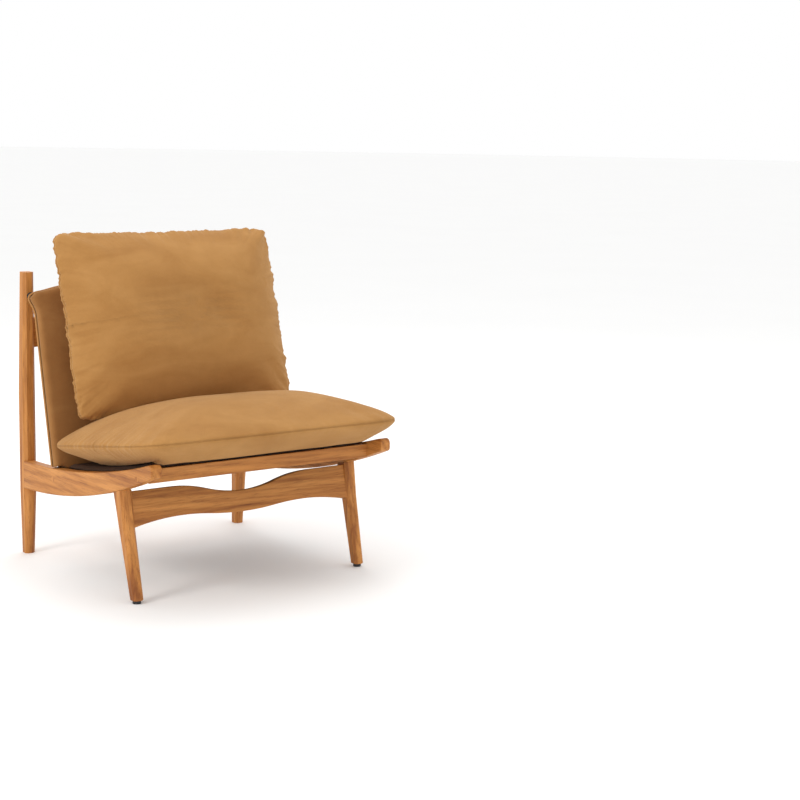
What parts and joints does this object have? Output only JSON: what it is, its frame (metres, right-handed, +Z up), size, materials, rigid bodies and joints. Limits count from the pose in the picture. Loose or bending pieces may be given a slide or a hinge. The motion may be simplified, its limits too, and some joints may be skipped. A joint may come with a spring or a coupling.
{
  "type": "armless lounge chair",
  "caption": "Low armless lounge chair: bolted wooden frame with raked front legs, upholstered back panel, webbed seat and two loose cushions.",
  "frame": {"origin": "on the floor, under the centre of the chair's outer box", "axes": "+X to the sitter's left, -Y to the front of the chair, +Z up"},
  "size_m": [0.67, 0.704, 0.8084],
  "materials": {
    "frame_wood": "clear satin lacquer",
    "cleat_wood": "raw planed softwood",
    "dowel_wood": "raw fluted beech",
    "plug_wood": "clear satin lacquer",
    "plywood": "raw plywood",
    "steel": "zinc plated",
    "black_plastic": "moulded black",
    "panel_fabric": "camel velvet upholstery",
    "welt_fabric": "camel velvet piping",
    "cushion_fabric": "camel velvet upholstery",
    "deck_fabric": "dark brown platform cloth over felt",
    "webbing": "woven elastic webbing",
    "foam": "polyurethane foam"
  },
  "bodies": {
    "frame": {"rear_post_left": "frame_wood", "rear_post_right": "frame_wood", "side_rail_left": "frame_wood", "side_rail_right": "frame_wood", "front_leg_left": "frame_wood", "front_leg_right": "frame_wood", "front_stretcher": "frame_wood", "top_back_rail": "frame_wood", "front_seat_rail": "frame_wood", "rear_seat_rail": "frame_wood", "webbing_cleat_left": "cleat_wood", "webbing_cleat_right": "cleat_wood", "leg_dowels": "dowel_wood", "post_dowels": "dowel_wood", "stretcher_dowels": "dowel_wood", "alignment_dowels": "dowel_wood", "side_plugs": "plug_wood", "back_plugs": "plug_wood", "frame_bolts": "steel", "barrel_nuts": "steel", "panel_bolts": "steel", "panel_inserts": "steel", "panel_screws": "steel", "cleat_screws": "steel", "panel_spacers": "black_plastic", "front_glides": "black_plastic", "back_panel_board": "plywood", "back_panel_front_pad": "panel_fabric", "back_panel_rear_cover": "panel_fabric", "back_panel_welt": "welt_fabric", "seat_deck_pad": "deck_fabric", "webbing_straps": "webbing"},
    "seat_cushion": {"seat_cushion_cover": "cushion_fabric", "seat_cushion_core": "foam"},
    "back_cushion": {"back_cushion_cover": "cushion_fabric", "back_cushion_core": "foam"}
  },
  "joints": [
    {"name": "seat_cushion_lift", "type": "slide", "parent": "frame", "child": "seat_cushion", "axis": [0, 0, 1], "range_m": [0, 0.15]},
    {"name": "back_cushion_lift", "type": "slide", "parent": "seat_cushion", "child": "back_cushion", "axis": [0, 0, 1], "range_m": [0, 0.35]}
  ]
}
